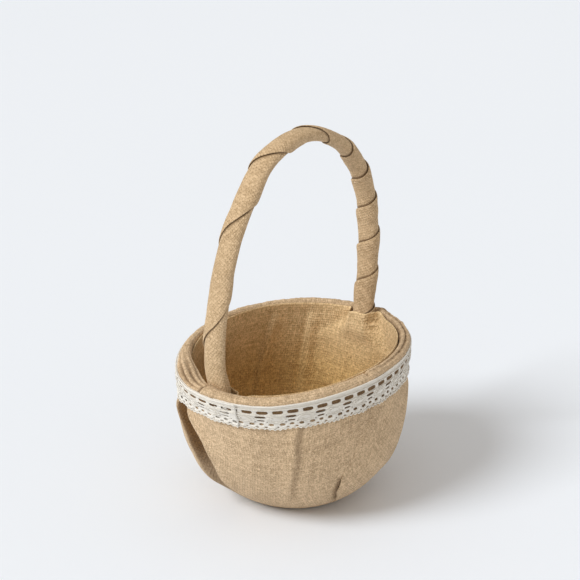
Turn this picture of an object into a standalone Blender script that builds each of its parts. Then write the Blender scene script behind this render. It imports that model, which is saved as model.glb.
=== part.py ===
"""Flower girl basket: a stiff oval bowl in burlap, with a lace band and a cloth-wrapped arch handle.

Metres. The arch stands in the XZ plane, +Z is up and z = 0 is the surface the basket stands on.
An inset is a distance into the bowl, square to its wall, counted from the outer cloth's face.
"""

import math

import bmesh
import bpy
from mathutils import Vector

# The bowl, measured on its outer cloth
BOWL_HEIGHT = 0.106
BASE_RADIUS = 0.036
RIM_RADIUS = 0.0770  # the mean of the rim's long and short half-lengths
WALL_POWER = 4.0  # how soon the wall turns upright
WALL_EASE = 0.95  # below 1 rounds the corner where the wall leaves the base
BASE_OVAL = -0.06  # the base is a little wider across the handle
RIM_OVAL = 0.13  # the handle pulls the rim long along X
OVAL_POWER = 1.3
RIM_DIP = 0.0042  # the rim is lower at the two feet of the handle
BASE_SHIFT = Vector((-0.0025, 0.0035, 0.0))  # the base is glued in a little off the rim's middle

# Sheet thicknesses and the clearance between neighbours
GAP = 0.0003
CLOTH = 0.0012
FORM_WALL = 0.0022
BOARD = 0.0015
LACE = 0.0009

# The rim
WIRE_RADIUS = 0.0015
WIRE_INSET = 0.003
WIRE_DROP = 0.0041  # its middle, below the top of the rim
FORM_DROP = 0.006
COVER_DROP = 0.0033
BINDING_OUTSIDE = 0.013  # how far the binding reaches down the outer wall
BINDING_INSIDE = 0.009
LINING_SLACK = 0.0005  # the lining lies loosely on the form
LINING_DROP = 0.0008
LINING_STEP = (0.018, 0.010)  # depths between which the lining leaves the form to clear the binding
LACE_TOP_DROP = 0.0042
LACE_WIDTH = 0.0185
LACE_STEP = 0.004  # height over which the lace comes in from the binding to the cover

# The floor of the bowl
BOARD_RADIUS = 0.035
LINING_BASE_RADIUS = 0.038
LINING_WALL_FOOT = 0.0105  # height of the lining wall's lower edge

# The handle
CORE_WIDTH = 0.0114
CORE_THICKNESS = 0.0048
CORE_POWER = 3.5
WRAP_WIDTH = 0.016
WRAP_THICKNESS = 0.0094
WRAP_POWER = 2.2
WRAP_END_DROP = 0.009  # the wrap ends this far below the top of the rim
ARCH_POINTS = (
    (-0.0780, 0.0025, 0.125),
    (-0.0752, 0.0018, 0.158),
    (-0.0668, 0.0008, 0.190),
    (-0.0520, 0.0, 0.2185),
    (-0.0290, 0.0, 0.2415),
    (0.0020, 0.0, 0.2488),
    (0.0335, 0.0, 0.2405),
    (0.0580, 0.0, 0.2215),
    (0.0735, 0.0, 0.1950),
    (0.0795, 0.0, 0.1620),
    (0.0788, 0.0, 0.1300),
)
# Height and inset of the middle of each leg, from the rim down to its end in the sleeve
LEG_ROUTE = ((0.106, 0.0110), (0.097, 0.0108), (0.082, 0.0090), (0.066, 0.0068), (0.052, 0.0067))
# Height and inset of the lining's outer face where it passes over a leg
SLEEVE_ROUTE = (
    (0.042, 0.0040),
    (0.048, 0.0112),
    (0.066, 0.0114),
    (0.084, 0.0130),
    (0.093, 0.0158),
    (0.106, 0.0160),
)
SLEEVE_HALF_WIDTH = 0.011
SLEEVE_FADE = 0.007
HANDLE_STATIONS = 46
SECTION_SIDES = 10

# The staples that hold each leg to the form
STAPLE_HEIGHTS = {"upper": 0.0655, "lower": 0.0565}
STAPLE_WIRE = 0.0007
STAPLE_WIDTH = 0.008
STAPLE_REACH = 0.0080
STAPLE_CROWN_INSET = 0.0106

# How finely round pieces are cut
AROUND = 40
DENSER_AT_LEGS = 0.3
WALL_LEVELS = 9
LEVEL_POWER = 1.5
ARC_STEPS = 5

BURLAP = (0.50, 0.36, 0.21)
BURLAP_INSIDE = (0.42, 0.27, 0.12)
COTTON = (0.76, 0.72, 0.62)
PULP_BOARD = (0.42, 0.36, 0.28)
CANE = (0.55, 0.38, 0.20)
STEEL = (0.55, 0.55, 0.56)


def smooth(value):
    """0 below 0, 1 above 1, and an S-curve between."""
    value = min(max(value, 0.0), 1.0)
    return value * value * (3.0 - 2.0 * value)


def along(route, height):
    """The inset at a height, read from a route of (height, inset) pairs in rising order."""
    if height <= route[0][0]:
        return route[0][1]
    for (low, first), (high, second) in zip(route, route[1:]):
        if height <= high:
            return first + (second - first) * (height - low) / (high - low)
    return route[-1][1]


# ---------------------------------------------------------------- the bowl's shape


def wall_radius(height):
    """Mean radius of the outer cloth at a height."""
    share = 1.0 - (1.0 - min(height / BOWL_HEIGHT, 1.0)) ** WALL_POWER
    return BASE_RADIUS + (RIM_RADIUS - BASE_RADIUS) * share**WALL_EASE


def wall_levels():
    """Heights of the rows that every shell is built on, closer together near the base."""
    return [BOWL_HEIGHT * (i / WALL_LEVELS) ** LEVEL_POWER for i in range(WALL_LEVELS + 1)]


def inward(points, distances):
    """A profile of (radius, height) points moved square to itself, towards the inside of the bowl."""
    moved = []
    for i, (radius, height) in enumerate(points):
        before = Vector(points[max(i - 1, 0)])
        here = Vector((radius, height))
        after = Vector(points[min(i + 1, len(points) - 1)])
        first = (here - before).normalized() if i > 0 else (after - here).normalized()
        second = (after - here).normalized() if i < len(points) - 1 else first
        middle = (first + second).normalized()
        normal = Vector((-middle.y, middle.x))
        reach = distances[i] / max(middle.dot(first), 0.5)
        moved.append((max(radius + normal.x * reach, 0.0), height + normal.y * reach))
    return moved


def cup_profile(inset, top):
    """(radius, height) points from the middle of the base to the top of the wall, at one inset."""
    heights = [z for z in wall_levels() if z < top - 0.002] + [top]
    points = [(0.0, 0.0), (BASE_RADIUS / 2.0, 0.0)] + [(wall_radius(z), z) for z in heights]
    moved = inward(points, [inset] * len(points))
    moved[0] = (0.0, moved[0][1])
    moved[-1] = (moved[-1][0], top)
    return moved


def wall_point(height, inset, angle):
    """A point beside the wall, at a height and an inset."""
    return place(wall_radius(height) - inset, height, angle)


def place(radius, height, angle):
    """A point of the bowl, from its round profile to its real oval, dipped and shifted shape."""
    share = max(height / BOWL_HEIGHT, 0.0)
    oval = BASE_OVAL + (RIM_OVAL - BASE_OVAL) * share**OVAL_POWER
    x = radius * (1.0 + oval) * math.cos(angle)
    y = radius * (1.0 - oval) * math.sin(angle)
    dip = RIM_DIP * math.cos(angle) ** 2 * share**2
    return Vector((x, y, height - dip)) + BASE_SHIFT * (1.0 - share)


def round_angles():
    """Angles around the bowl, closer together at the two feet of the handle."""
    even = [math.tau * i / AROUND for i in range(AROUND)]
    return [angle - DENSER_AT_LEGS * math.sin(2.0 * angle) for angle in even]


# ---------------------------------------------------------------- mesh and material helpers


def material(name, colour, roughness, metallic=0.0):
    made = bpy.data.materials.new(name)
    made.use_nodes = True
    shader = made.node_tree.nodes["Principled BSDF"]
    shader.inputs["Base Color"].default_value = (*colour, 1.0)
    shader.inputs["Roughness"].default_value = roughness
    shader.inputs["Metallic"].default_value = metallic
    made.diffuse_color = (*colour, 1.0)
    return made


def mesh_object(name, points, faces, finish):
    mesh = bpy.data.meshes.new(name)
    mesh.from_pydata(points, [], faces)
    work = bmesh.new()
    work.from_mesh(mesh)
    bmesh.ops.recalc_face_normals(work, faces=work.faces)
    work.to_mesh(mesh)
    work.free()
    mesh.shade_smooth()
    mesh.set_sharp_from_angle(angle=math.radians(40.0))
    mesh.materials.append(finish)
    made = bpy.data.objects.new(name, mesh)
    bpy.context.collection.objects.link(made)
    return made


def loft_ring(name, section, finish):
    """A ring around the bowl. section(angle) is a closed outline of (radius, height) points."""
    angles = round_angles()
    rows = [[place(r, z, angle) for r, z in section(angle)] for angle in angles]
    size = len(rows[0])
    points = [point for row in rows for point in row]
    faces = []
    for j in range(len(angles)):
        following = (j + 1) % len(angles)
        for i in range(size):
            ahead = (i + 1) % size
            faces.append((j * size + i, j * size + ahead, following * size + ahead, following * size + i))
    return mesh_object(name, points, faces, finish)


def loft_cup(name, section, finish):
    """A cup or a disc. section(angle) runs from the axis, out and back to the axis."""
    angles = round_angles()
    outline = section(0.0)
    points = [place(0.0, outline[0][1], 0.0), place(0.0, outline[-1][1], 0.0)]
    size = len(outline) - 2
    for angle in angles:
        points += [place(r, z, angle) for r, z in section(angle)[1:-1]]
    faces = []
    for j in range(len(angles)):
        here = 2 + j * size
        following = 2 + ((j + 1) % len(angles)) * size
        faces.append((0, here, following))
        faces.append((1, following + size - 1, here + size - 1))
        faces += [(here + i, here + i + 1, following + i + 1, following + i) for i in range(size - 1)]
    return mesh_object(name, points, faces, finish)


def cut_away(target, cutters):
    """Cuts each cutter out of the target, and keeps the cutter as a hidden guide."""
    for cutter in cutters:
        cutter.hide_render = True
        cutter.display_type = "WIRE"
        modifier = target.modifiers.new(cutter.name, "BOOLEAN")
        modifier.operation = "DIFFERENCE"
        modifier.solver = "EXACT"
        modifier.object = cutter


# ---------------------------------------------------------------- the shells of the bowl


def cup_between(name, outer_inset, inner_inset, top, finish):
    outer = cup_profile(outer_inset, top)
    inner = cup_profile(inner_inset, top)
    return loft_cup(name, lambda angle: outer + inner[::-1], finish)


def make_outer_cover(finish):
    return cup_between("outer_cover", 0.0, CLOTH, BOWL_HEIGHT - COVER_DROP, finish)


def make_bowl_form(finish):
    outer_inset = CLOTH + GAP
    return cup_between("bowl_form", outer_inset, outer_inset + FORM_WALL, BOWL_HEIGHT - FORM_DROP, finish)


def make_disc(name, radius, bottom, thickness, finish):
    outline = [(0.0, bottom), (radius, bottom), (radius, bottom + thickness), (0.0, bottom + thickness)]
    return loft_cup(name, lambda angle: outline, finish)


def floor_heights():
    """Undersides of the base board and of the lining's base."""
    board = CLOTH + GAP + FORM_WALL + GAP
    return board, board + BOARD + GAP


def make_rim_wire(finish):
    radius = wall_radius(BOWL_HEIGHT) - WIRE_INSET
    height = BOWL_HEIGHT - WIRE_DROP
    turns = [math.tau * i / 8 for i in range(8)]
    outline = [(radius + WIRE_RADIUS * math.cos(t), height + WIRE_RADIUS * math.sin(t)) for t in turns]
    return loft_ring("rim_wire", lambda angle: outline, finish)


def make_rim_binding(finish):
    """A strip of burlap folded over the rim: down the outside, round the top and down the inside."""
    outer_middle = -(GAP + CLOTH / 2.0)
    inner_middle = WIRE_INSET + WIRE_RADIUS + GAP + CLOTH / 2.0
    half = (inner_middle - outer_middle) / 2.0
    centre_inset = (inner_middle + outer_middle) / 2.0
    centre_height = BOWL_HEIGHT - CLOTH / 2.0 - half

    def shell(side):
        reach = half + side * CLOTH / 2.0
        outer_foot = BOWL_HEIGHT - BINDING_OUTSIDE
        inner_foot = BOWL_HEIGHT - BINDING_INSIDE
        points = [(wall_radius(outer_foot) - centre_inset + reach, outer_foot)]
        for i in range(ARC_STEPS + 1):
            turn = math.pi * i / ARC_STEPS
            height = centre_height + reach * math.sin(turn)
            points.append((wall_radius(centre_height) - centre_inset + reach * math.cos(turn), height))
        points.append((wall_radius(inner_foot) - centre_inset - reach, inner_foot))
        return points

    outline = shell(1.0) + shell(-1.0)[::-1]
    return loft_ring("rim_binding", lambda angle: outline, finish)


def lining_inset(height, side_distance):
    """Inset of the lining's outer face: close to the form, and out over each leg of the handle."""
    low = CLOTH + GAP + FORM_WALL + LINING_SLACK
    high = WIRE_INSET + WIRE_RADIUS + GAP + CLOTH + GAP
    start, end = LINING_STEP
    clear = low + (high - low) * smooth((height - BOWL_HEIGHT + start) / (start - end))
    over_leg = max(along(SLEEVE_ROUTE, height), clear)
    share = smooth((SLEEVE_HALF_WIDTH + SLEEVE_FADE - side_distance) / SLEEVE_FADE)
    return clear + (over_leg - clear) * share


def make_lining_wall(finish):
    top = BOWL_HEIGHT - LINING_DROP
    heights = [z for z in wall_levels() if LINING_WALL_FOOT + 0.002 < z < top - 0.002]
    heights += [z for z, _ in SLEEVE_ROUTE[:-1]] + [BOWL_HEIGHT - drop for drop in LINING_STEP]
    heights = sorted(set([LINING_WALL_FOOT] + heights + [top]))
    profile = [(wall_radius(z), z) for z in heights]

    def section(angle):
        aside = [abs(wall_point(z, 0.0, angle).y - BASE_SHIFT.y * (1.0 - z / BOWL_HEIGHT)) for z in heights]
        insets = [lining_inset(z, y) for z, y in zip(heights, aside)]
        outer = inward(profile, insets)
        inner = inward(profile, [inset + CLOTH for inset in insets])
        return outer + inner[::-1]

    return loft_ring("lining_wall", section, finish)


def make_lace_trim(finish):
    top = BOWL_HEIGHT - LACE_TOP_DROP
    bottom = top - LACE_WIDTH
    step = BOWL_HEIGHT - BINDING_OUTSIDE
    over_binding = -(GAP + CLOTH + GAP)
    route = ((top, over_binding), (step, over_binding), (step - LACE_STEP, -GAP), (bottom, -GAP))
    outer = [(wall_radius(z) - inset + LACE, z) for z, inset in route]
    inner = [(wall_radius(z) - inset, z) for z, inset in route]
    return loft_ring("lace_trim", lambda angle: outer + inner[::-1], finish)


# ---------------------------------------------------------------- the handle


def leg_points(angle):
    """Middle of one leg, from the rim down into the sleeve."""
    return [wall_point(height, inset, angle) for height, inset in LEG_ROUTE]


def smooth_route(points, steps):
    """A smooth curve through the points, with evenly spaced stations."""
    ends = [points[0] * 2.0 - points[1]] + points + [points[-1] * 2.0 - points[-2]]
    fine = []
    for a, b, c, d in zip(ends, ends[1:], ends[2:], ends[3:]):
        for i in range(steps):
            t = i / steps
            fine.append(
                (b * 2.0 + (c - a) * t + (a * 2.0 - b * 5.0 + c * 4.0 - d) * t * t
                 + (b * 3.0 - a - c * 3.0 + d) * t**3) / 2.0
            )
    fine.append(points[-1])
    lengths = [0.0]
    for first, second in zip(fine, fine[1:]):
        lengths.append(lengths[-1] + (second - first).length)
    stations = []
    index = 0
    for i in range(HANDLE_STATIONS + 1):
        wanted = lengths[-1] * i / HANDLE_STATIONS
        while index < len(fine) - 2 and lengths[index + 1] < wanted:
            index += 1
        span = lengths[index + 1] - lengths[index]
        stations.append(fine[index].lerp(fine[index + 1], (wanted - lengths[index]) / span))
    return stations


def handle_stations():
    left = leg_points(math.pi)[::-1]
    right = leg_points(0.0)
    return smooth_route(left + [Vector(point) for point in ARCH_POINTS] + right, 12)


def section_ring(stations, i, half_width, half_thickness, power):
    """One ring of a flat oval section, square to the route."""
    ahead = stations[min(i + 1, len(stations) - 1)]
    behind = stations[max(i - 1, 0)]
    tangent = (ahead - behind).normalized()
    across = (Vector((0.0, 1.0, 0.0)) - tangent * tangent.y).normalized()
    outward = tangent.cross(across)
    ring = []
    for side in range(SECTION_SIDES):
        turn = math.tau * (side + 0.5) / SECTION_SIDES
        cosine, sine = math.cos(turn), math.sin(turn)
        width = half_width * math.copysign(abs(cosine) ** (2.0 / power), cosine)
        thickness = half_thickness * math.copysign(abs(sine) ** (2.0 / power), sine)
        ring.append(stations[i] + across * width + outward * thickness)
    return ring


def tube_faces(first, rings):
    """Quads between successive rings of a sweep that starts at a vertex number."""
    faces = []
    for i in range(rings - 1):
        here = first + i * SECTION_SIDES
        for side in range(SECTION_SIDES):
            ahead = (side + 1) % SECTION_SIDES
            faces.append((here + side, here + ahead, here + SECTION_SIDES + ahead, here + SECTION_SIDES + side))
    return faces


def make_handle_core(stations, finish):
    points = []
    for i in range(len(stations)):
        points += section_ring(stations, i, CORE_WIDTH / 2.0, CORE_THICKNESS / 2.0, CORE_POWER)
    faces = tube_faces(0, len(stations))
    faces.append(tuple(range(SECTION_SIDES)))
    faces.append(tuple(range(len(points) - SECTION_SIDES, len(points))))
    return mesh_object("handle_core", points, faces, finish)


def make_handle_wrap(stations, finish):
    """The wound cloth as a sleeve around the core, open at both ends."""
    lowest = BOWL_HEIGHT - RIM_DIP - WRAP_END_DROP
    wrapped = [i for i, point in enumerate(stations) if point.z > lowest]
    outer, inner = [], []
    for i in wrapped:
        outer += section_ring(stations, i, WRAP_WIDTH / 2.0, WRAP_THICKNESS / 2.0, WRAP_POWER)
        inner += section_ring(stations, i, CORE_WIDTH / 2.0 + GAP, CORE_THICKNESS / 2.0 + GAP, CORE_POWER)
    faces = tube_faces(0, len(wrapped)) + tube_faces(len(outer), len(wrapped))
    last = len(outer) - SECTION_SIDES
    for side in range(SECTION_SIDES):
        ahead = (side + 1) % SECTION_SIDES
        for ring in (0, last):
            faces.append((ring + side, ring + ahead, len(outer) + ring + ahead, len(outer) + ring + side))
    return mesh_object("handle_wrap", outer + inner, faces, finish)


# ---------------------------------------------------------------- the staples


def box(name, low, high, finish):
    corners = [(x, y, z) for x in (low.x, high.x) for y in (low.y, high.y) for z in (low.z, high.z)]
    faces = ((0, 1, 3, 2), (4, 6, 7, 5), (0, 4, 5, 1), (2, 3, 7, 6), (0, 2, 6, 4), (1, 5, 7, 3))
    return mesh_object(name, corners, faces, finish)


def make_staple(name, angle, height, finish):
    """A flat wire staple driven outwards through the core and into the form."""
    middle = wall_point(height, STAPLE_CROWN_INSET, angle)
    out = 1.0 if middle.x > 0.0 else -1.0
    half = STAPLE_WIDTH / 2.0
    outline = (
        (0.0, -half),
        (STAPLE_REACH, -half),
        (STAPLE_REACH, -half + STAPLE_WIRE),
        (STAPLE_WIRE, -half + STAPLE_WIRE),
        (STAPLE_WIRE, half - STAPLE_WIRE),
        (STAPLE_REACH, half - STAPLE_WIRE),
        (STAPLE_REACH, half),
        (0.0, half),
    )
    size = len(outline)
    points = []
    for rise in (-STAPLE_WIRE / 2.0, STAPLE_WIRE / 2.0):
        points += [middle + Vector((out * reach, aside, rise)) for reach, aside in outline]
    faces = [(i, (i + 1) % size, size + (i + 1) % size, size + i) for i in range(size)]
    faces += [(0, 1, 2, 3), (0, 3, 4, 7), (4, 5, 6, 7)]
    faces += [(size, size + 1, size + 2, size + 3), (size, size + 3, size + 4, size + 7)]
    faces += [(size + 4, size + 5, size + 6, size + 7)]
    return mesh_object(name, points, faces, finish)


def staple_holes(name, angle, height, finish):
    """The two slots that a staple's prongs leave in the core and the form."""
    middle = wall_point(height, STAPLE_CROWN_INSET, angle)
    out = 1.0 if middle.x > 0.0 else -1.0
    holes = []
    for side in (-1.0, 1.0):
        prong = side * (STAPLE_WIDTH - STAPLE_WIRE) / 2.0
        room = STAPLE_WIRE / 2.0 + GAP
        near = middle + Vector((0.0, prong - room, -room))
        far = middle + Vector((out * (STAPLE_REACH + 0.003), prong + room, room))
        low = Vector((min(near.x, far.x), near.y, near.z))
        high = Vector((max(near.x, far.x), far.y, far.z))
        holes.append(box(f"{name}_hole_{len(holes)}", low, high, finish))
    return holes


def main():
    for leftover in list(bpy.data.objects):
        bpy.data.objects.remove(leftover, do_unlink=True)

    burlap = material("burlap", BURLAP, 0.9)
    lining_burlap = material("lining_burlap", BURLAP_INSIDE, 0.9)
    cotton = material("cotton_lace", COTTON, 0.85)
    board = material("pulp_board", PULP_BOARD, 0.9)
    cane = material("split_cane", CANE, 0.6)
    steel = material("steel_wire", STEEL, 0.4, 1.0)

    board_height, lining_height = floor_heights()
    form = make_bowl_form(board)
    make_disc("base_board", BOARD_RADIUS, board_height, BOARD, board)
    make_rim_wire(steel)
    make_outer_cover(burlap)
    make_lining_wall(lining_burlap)
    make_disc("lining_base", LINING_BASE_RADIUS, lining_height, CLOTH, lining_burlap)
    make_rim_binding(burlap)
    make_lace_trim(cotton)

    stations = handle_stations()
    core = make_handle_core(stations, cane)
    make_handle_wrap(stations, burlap)
    for side, angle in (("left", math.pi), ("right", 0.0)):
        for row, height in STAPLE_HEIGHTS.items():
            name = f"staple_{side}_{row}"
            make_staple(name, angle, height, steel)
            holes = staple_holes(name, angle, height, steel)
            cut_away(form, holes)
            cut_away(core, holes)


main()
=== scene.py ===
import bisect
import math

import bmesh
import bpy
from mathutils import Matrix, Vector, geometry, noise


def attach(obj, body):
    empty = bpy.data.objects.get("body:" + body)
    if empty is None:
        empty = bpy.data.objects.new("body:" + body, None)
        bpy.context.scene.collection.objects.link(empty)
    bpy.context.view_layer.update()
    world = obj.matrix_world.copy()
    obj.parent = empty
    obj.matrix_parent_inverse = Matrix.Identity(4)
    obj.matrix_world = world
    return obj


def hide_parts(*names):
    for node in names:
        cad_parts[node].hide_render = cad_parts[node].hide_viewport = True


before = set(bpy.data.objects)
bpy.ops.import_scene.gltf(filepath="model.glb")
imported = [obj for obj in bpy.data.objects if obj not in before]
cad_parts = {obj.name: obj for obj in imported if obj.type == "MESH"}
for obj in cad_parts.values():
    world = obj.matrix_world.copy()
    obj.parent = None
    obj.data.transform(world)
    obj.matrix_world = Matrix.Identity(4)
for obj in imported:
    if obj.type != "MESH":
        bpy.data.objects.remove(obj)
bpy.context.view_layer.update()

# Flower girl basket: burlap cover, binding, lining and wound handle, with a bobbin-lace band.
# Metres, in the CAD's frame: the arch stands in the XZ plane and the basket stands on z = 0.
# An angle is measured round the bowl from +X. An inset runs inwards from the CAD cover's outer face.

MM = 0.001
TAU = math.tau

# ---------------------------------------------------------------- the CAD's shape, repeated from part.py

BOWL_HEIGHT = 0.106
BASE_RADIUS = 0.036
RIM_RADIUS = 0.0770
WALL_POWER = 4.0
WALL_EASE = 0.95
BASE_OVAL = -0.06
RIM_OVAL = 0.13
OVAL_POWER = 1.3
RIM_DIP = 0.0042
BASE_SHIFT = Vector((-0.0025, 0.0035, 0.0))
SLEEVE_ROUTE = ((42, 4.0), (48, 11.2), (66, 11.4), (84, 13.0), (93, 15.8), (106, 16.0))  # mm
ARCH_POINTS = (
    (-0.0780, 0.0025, 0.125),
    (-0.0752, 0.0018, 0.158),
    (-0.0668, 0.0008, 0.190),
    (-0.0520, 0.0, 0.2185),
    (-0.0290, 0.0, 0.2415),
    (0.0020, 0.0, 0.2488),
    (0.0335, 0.0, 0.2405),
    (0.0580, 0.0, 0.2215),
    (0.0735, 0.0, 0.1950),
    (0.0795, 0.0, 0.1620),
    (0.0788, 0.0, 0.1300),
)
LEG_ROUTE = ((0.106, 0.0110), (0.097, 0.0108), (0.082, 0.0090), (0.066, 0.0068))  # height, inset


def smooth(value):
    value = min(max(value, 0.0), 1.0)
    return value * value * (3.0 - 2.0 * value)


def ramp(value, low, high):
    """0 at low, 1 at high, and an S-curve between (high may be the smaller one)."""
    return smooth((value - low) / (high - low))


def bump_at(distance, width):
    """A soft hump of height 1 at distance 0, gone at the width."""
    return 1.0 - smooth(abs(distance) / width)


def turned(angle):
    """An angle brought between -pi and pi."""
    return (angle + math.pi) % TAU - math.pi


def near(angle, degrees, width):
    """A soft hump round the bowl: 1 at a place in degrees, gone so many degrees from it."""
    return bump_at(turned(angle - math.radians(degrees)), math.radians(width))


def along(route, where):
    """The second value of a route of pairs, between the pairs round a place."""
    if where <= route[0][0]:
        return route[0][1]
    for (low, first), (high, second) in zip(route, route[1:]):
        if where <= high:
            return first + (second - first) * (where - low) / (high - low)
    return route[-1][1]


def bracket(values, where):
    """Which span of some rising values holds a place, and the share of the way along it."""
    low = min(bisect.bisect_right(values, where) - 1, len(values) - 2)
    return low, (where - values[low]) / (values[low + 1] - values[low])


def wander(x, y, z):
    """Smooth noise between about -1 and 1."""
    return noise.noise(Vector((x, y, z)))


def round_noise(angle, turns, seed):
    """Smooth noise round the bowl that meets itself; more turns make shorter waves."""
    return wander(math.cos(angle) * turns, math.sin(angle) * turns, seed)


def rough(point, scale, seed=0.0):
    """Smooth noise in space; scale is the size of its lumps in metres."""
    return noise.noise(point / scale + Vector((seed, 3.7 * seed, 1.3)))


def wall_radius(height):
    share = 1.0 - (1.0 - min(max(height, 0.0) / BOWL_HEIGHT, 1.0)) ** WALL_POWER
    return BASE_RADIUS + (RIM_RADIUS - BASE_RADIUS) * share**WALL_EASE


def place(radius, height, angle):
    share = max(height / BOWL_HEIGHT, 0.0)
    oval = BASE_OVAL + (RIM_OVAL - BASE_OVAL) * share**OVAL_POWER
    x = radius * (1.0 + oval) * math.cos(angle)
    y = radius * (1.0 - oval) * math.sin(angle)
    dip = RIM_DIP * math.cos(angle) ** 2 * share**2
    return Vector((x, y, height - dip)) + BASE_SHIFT * (1.0 - share)


def wall_point(height, inset, angle):
    return place(wall_radius(height) - inset, height, angle)


# ---------------------------------------------------------------- shader node helpers


class Flow:
    """A shader value that can be worked with like a number."""

    def __init__(self, graph, socket):
        self.graph = graph
        self.socket = socket

    def __add__(self, other):
        return self.graph.math("ADD", self, other)

    def __sub__(self, other):
        return self.graph.math("SUBTRACT", self, other)

    def __rsub__(self, other):
        return self.graph.math("SUBTRACT", other, self)

    def __mul__(self, other):
        return self.graph.math("MULTIPLY", self, other)

    def __truediv__(self, other):
        return self.graph.math("DIVIDE", self, other)


class Graph:
    """Short names for building a material's node tree."""

    def __init__(self, name):
        self.material = bpy.data.materials.new(name)
        self.material.use_nodes = True
        self.tree = self.material.node_tree
        self.shader = self.tree.nodes["Principled BSDF"]
        self.place = Flow(self, self.add("TexCoord").outputs["Object"])

    def add(self, kind, **settings):
        node = self.tree.nodes.new("ShaderNode" + kind)
        for key, value in settings.items():
            setattr(node, key, value)
        return node

    def feed(self, socket, value):
        if isinstance(value, Flow):
            self.tree.links.new(value.socket, socket)
        else:
            socket.default_value = value

    def result(self, node, values, output=0):
        """Feeds a node's inputs, by number or name, and returns one output."""
        for key, value in values.items():
            self.feed(node.inputs[key], value)
        return Flow(self, node.outputs[output])

    def math(self, operation, *values):
        return self.result(self.add("Math", operation=operation), dict(enumerate(values)))

    def vector(self, x, y=0.0, z=0.0):
        return self.result(self.add("CombineXYZ"), {0: x, 1: y, 2: z})

    def split(self, vector):
        node = self.add("SeparateXYZ")
        self.feed(node.inputs[0], vector)
        return [Flow(self, node.outputs[k]) for k in range(3)]

    def noise(self, vector, scale, detail=2.0, roughness=0.5):
        values = {"Vector": vector, "Scale": scale, "Detail": detail, "Roughness": roughness}
        return self.result(self.add("TexNoise"), values, "Fac")

    def white(self, vector):
        return self.result(self.add("TexWhiteNoise", noise_dimensions="3D"), {"Vector": vector}, "Value")

    def spread(self, value, low, high, to_low=0.0, to_high=1.0):
        node = self.add("MapRange", interpolation_type="SMOOTHSTEP")
        limits = {"From Min": low, "From Max": high, "To Min": to_low, "To Max": to_high}
        return self.result(node, {"Value": value, **limits})

    def mix(self, share, first, second, blend="MIX"):
        node = self.add("Mix", data_type="RGBA", blend_type=blend)
        first, second = ((*c, 1.0) if isinstance(c, tuple) else c for c in (first, second))
        return self.result(node, {0: share, 6: first, 7: second}, 2)

    def cloth_map(self):
        """The place on the flat cloth, in metres."""
        return self.split(Flow(self, self.add("UVMap", uv_map="cloth").outputs[0]))[:2]

    def surface(self, colour, roughness, **uniform):
        """Feeds the shader; a uniform value's name is its socket's name."""
        self.feed(self.shader.inputs["Base Color"], colour)
        self.feed(self.shader.inputs["Roughness"], roughness)
        for name, value in uniform.items():
            self.shader.inputs[name.replace("_", " ")].default_value = value

    def bump(self, height, distance, strength):
        node = self.add("Bump")
        self.feed(node.inputs["Height"], height)
        node.inputs["Distance"].default_value = distance
        node.inputs["Strength"].default_value = strength
        self.tree.links.new(node.outputs[0], self.shader.inputs["Normal"])


THREAD_PITCH = 0.0017
HANDLE_PITCH = 0.00155
# the deep brown that painted shade multiplies into the cloth's colour
PAINTED_SHADE_TINT = (0.19, 0.125, 0.06)
LACE_PITCH = (0.00085, 0.00078)


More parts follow.
